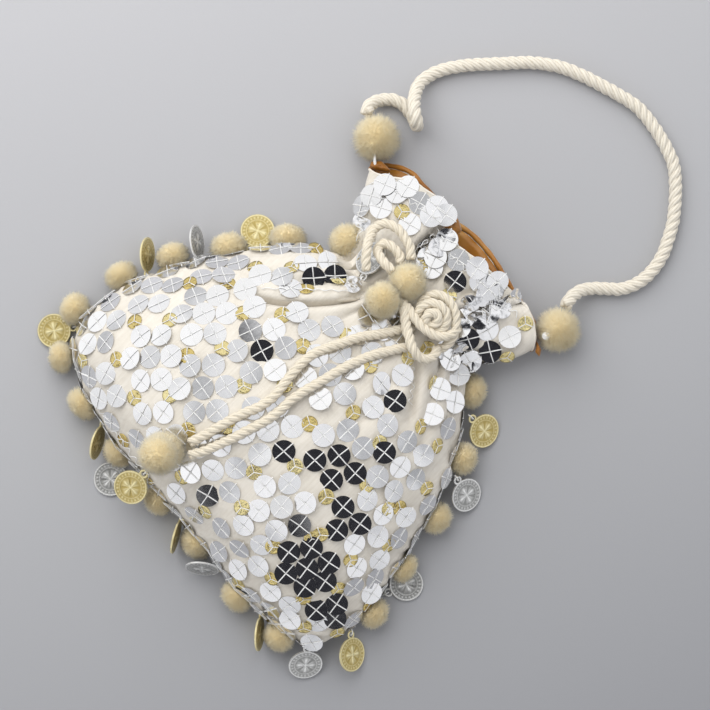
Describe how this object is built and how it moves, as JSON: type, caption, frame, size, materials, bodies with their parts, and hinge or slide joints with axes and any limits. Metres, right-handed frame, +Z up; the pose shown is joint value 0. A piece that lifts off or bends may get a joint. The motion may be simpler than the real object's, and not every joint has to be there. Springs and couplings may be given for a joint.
{
  "type": "potli bag",
  "caption": "Drawstring potli pouch lying on its back, stuffed, with gathered neck, flared frill mouth, satin lining, rope handle, pompoms and swinging coin charms.",
  "frame": {"origin": "centre of the bottom of the bag without its cords, on the surface it lies on", "axes": "+Y from the base seam to the mouth, +X to the right seen from the front with the mouth up, +Z up out of the front panel"},
  "size_m": [0.2346, 0.3287, 0.0684],
  "materials": {
    "ivory_fabric": "matt ivory chiffon over interlining, with mirror sequins sewn on",
    "satin": "glossy caramel satin",
    "pompom": "fuzzy beige yarn pompom",
    "gold_coin": "struck relief, worn antique gold colour",
    "silver_coin": "struck relief, antique silver colour",
    "string": "twisted cream cotton drawstring",
    "rope": "three-strand twisted cream cotton rope",
    "sequin_silver": "flat mirror sequin under white cross stitches",
    "sequin_gold": "small crinkled gold sequin under three white stitches",
    "thread": "white sewing thread"
  },
  "bodies": {
    "bag": {"front_panel": "ivory_fabric", "back_panel": "ivory_fabric", "front_lining": "satin", "back_lining": "satin", "handle_tab_left": "satin", "handle_tab_right": "satin", "seam_pompom_01": "pompom", "seam_pompom_02": "pompom", "seam_pompom_03": "pompom", "seam_pompom_04": "pompom", "seam_pompom_05": "pompom", "seam_pompom_06": "pompom", "seam_pompom_07": "pompom", "seam_pompom_08": "pompom", "seam_pompom_09": "pompom", "seam_pompom_10": "pompom", "seam_pompom_11": "pompom", "seam_pompom_12": "pompom", "seam_pompom_13": "pompom", "seam_pompom_14": "pompom", "seam_pompom_15": "pompom", "seam_pompom_16": "pompom", "seam_pompom_17": "pompom", "seam_pompom_18": "pompom", "handle_pompom_left": "pompom", "handle_pompom_right": "pompom", "drawstring_pompom_01": "pompom", "drawstring_pompom_02": "pompom", "drawstring_pompom_03": "pompom", "drawstring_pompom_04": "pompom", "drawstring_tail_upper": "string", "drawstring_tail_lower": "string", "drawstring_bow_outer": "string", "drawstring_bow_inner": "string", "drawstring_loop_lower": "string", "drawstring_knot": "string", "handle_rope": "rope"},
    "coin_gold_01": {"coin_gold_01": "gold_coin"},
    "coin_silver_02": {"coin_silver_02": "silver_coin"},
    "coin_gold_03": {"coin_gold_03": "gold_coin"},
    "coin_gold_04": {"coin_gold_04": "gold_coin"},
    "coin_gold_05": {"coin_gold_05": "gold_coin"},
    "coin_silver_06": {"coin_silver_06": "silver_coin"},
    "coin_gold_07": {"coin_gold_07": "gold_coin"},
    "coin_gold_08": {"coin_gold_08": "gold_coin"},
    "coin_silver_09": {"coin_silver_09": "silver_coin"},
    "coin_gold_10": {"coin_gold_10": "gold_coin"},
    "coin_silver_11": {"coin_silver_11": "silver_coin"},
    "coin_gold_12": {"coin_gold_12": "gold_coin"},
    "coin_silver_13": {"coin_silver_13": "silver_coin"},
    "coin_silver_14": {"coin_silver_14": "silver_coin"},
    "coin_gold_15": {"coin_gold_15": "gold_coin"},
    "coin_silver_16": {"coin_silver_16": "silver_coin"}
  },
  "joints": [
    {"name": "coin_gold_01_swing", "type": "hinge", "parent": "bag", "child": "coin_gold_01", "pos_m": [-0.06846, 0.02762, 0.00522], "axis": [0.9128, 0.4083, 0], "range_deg": [-1, 44]},
    {"name": "coin_silver_02_swing", "type": "hinge", "parent": "bag", "child": "coin_silver_02", "pos_m": [-0.08239, 0.00451, 0.01285], "axis": [0, 0, 1], "range_deg": [-29, 35]},
    {"name": "coin_gold_03_swing", "type": "hinge", "parent": "bag", "child": "coin_gold_03", "pos_m": [-0.09565, -0.01787, 0.01067], "axis": [0, 0, 1], "range_deg": [-14, 35]},
    {"name": "coin_gold_04_swing", "type": "hinge", "parent": "bag", "child": "coin_gold_04", "pos_m": [-0.1034, -0.06252, 0.00322], "axis": [0, 0, 1], "range_deg": [-15, 9]},
    {"name": "coin_gold_05_swing", "type": "hinge", "parent": "bag", "child": "coin_gold_05", "pos_m": [-0.059, -0.08575, 0.00981], "axis": [0, 0, 1], "range_deg": [-35, 1]},
    {"name": "coin_silver_06_swing", "type": "hinge", "parent": "bag", "child": "coin_silver_06", "pos_m": [-0.03771, -0.09331, 0.00074], "axis": [-0.0023, 0.0022, 1], "range_deg": [-22, 35]},
    {"name": "coin_gold_07_swing", "type": "hinge", "parent": "bag", "child": "coin_gold_07", "pos_m": [-0.02622, -0.08733, 0.02298], "axis": [-1, 0, 0], "range_deg": [-30, 60]},
    {"name": "coin_gold_08_swing", "type": "hinge", "parent": "bag", "child": "coin_gold_08", "pos_m": [0.00159, -0.09104, 0.00936], "axis": [0, 0, 1], "range_deg": [-35, 0]},
    {"name": "coin_silver_09_swing", "type": "hinge", "parent": "bag", "child": "coin_silver_09", "pos_m": [0.03461, -0.09506, 0.00993], "axis": [-0.6405, 0.7679, 0], "range_deg": [-11, 32]},
    {"name": "coin_gold_10_swing", "type": "hinge", "parent": "bag", "child": "coin_gold_10", "pos_m": [0.06338, -0.09694, 0.00944], "axis": [0, 0, 1], "range_deg": [-35, 0]},
    {"name": "coin_silver_11_swing", "type": "hinge", "parent": "bag", "child": "coin_silver_11", "pos_m": [0.09205, -0.09261, 0.01075], "axis": [-0.7939, -0.608, 0], "range_deg": [-2, 60]},
    {"name": "coin_gold_12_swing", "type": "hinge", "parent": "bag", "child": "coin_gold_12", "pos_m": [0.10242, -0.07258, 0.00853], "axis": [0, 0, 1], "range_deg": [-35, 35]},
    {"name": "coin_silver_13_swing", "type": "hinge", "parent": "bag", "child": "coin_silver_13", "pos_m": [0.10133, -0.04514, 0.0009], "axis": [0, 0, 1], "range_deg": [-35, 35]},
    {"name": "coin_silver_14_swing", "type": "hinge", "parent": "bag", "child": "coin_silver_14", "pos_m": [0.08561, 0.01902, 0.01036], "axis": [-0.2429, -0.9701, 0], "range_deg": [-2, 60]},
    {"name": "coin_gold_15_swing", "type": "hinge", "parent": "bag", "child": "coin_gold_15", "pos_m": [0.06923, 0.04577, 0.01059], "axis": [-0.0086, -1, 0], "range_deg": [-2, 60]},
    {"name": "coin_silver_16_swing", "type": "hinge", "parent": "bag", "child": "coin_silver_16", "pos_m": [-0.01823, 0.05675, 0.03004], "axis": [-0.6639, -0.1289, 0.7366], "range_deg": [-10, 12]}
  ]
}
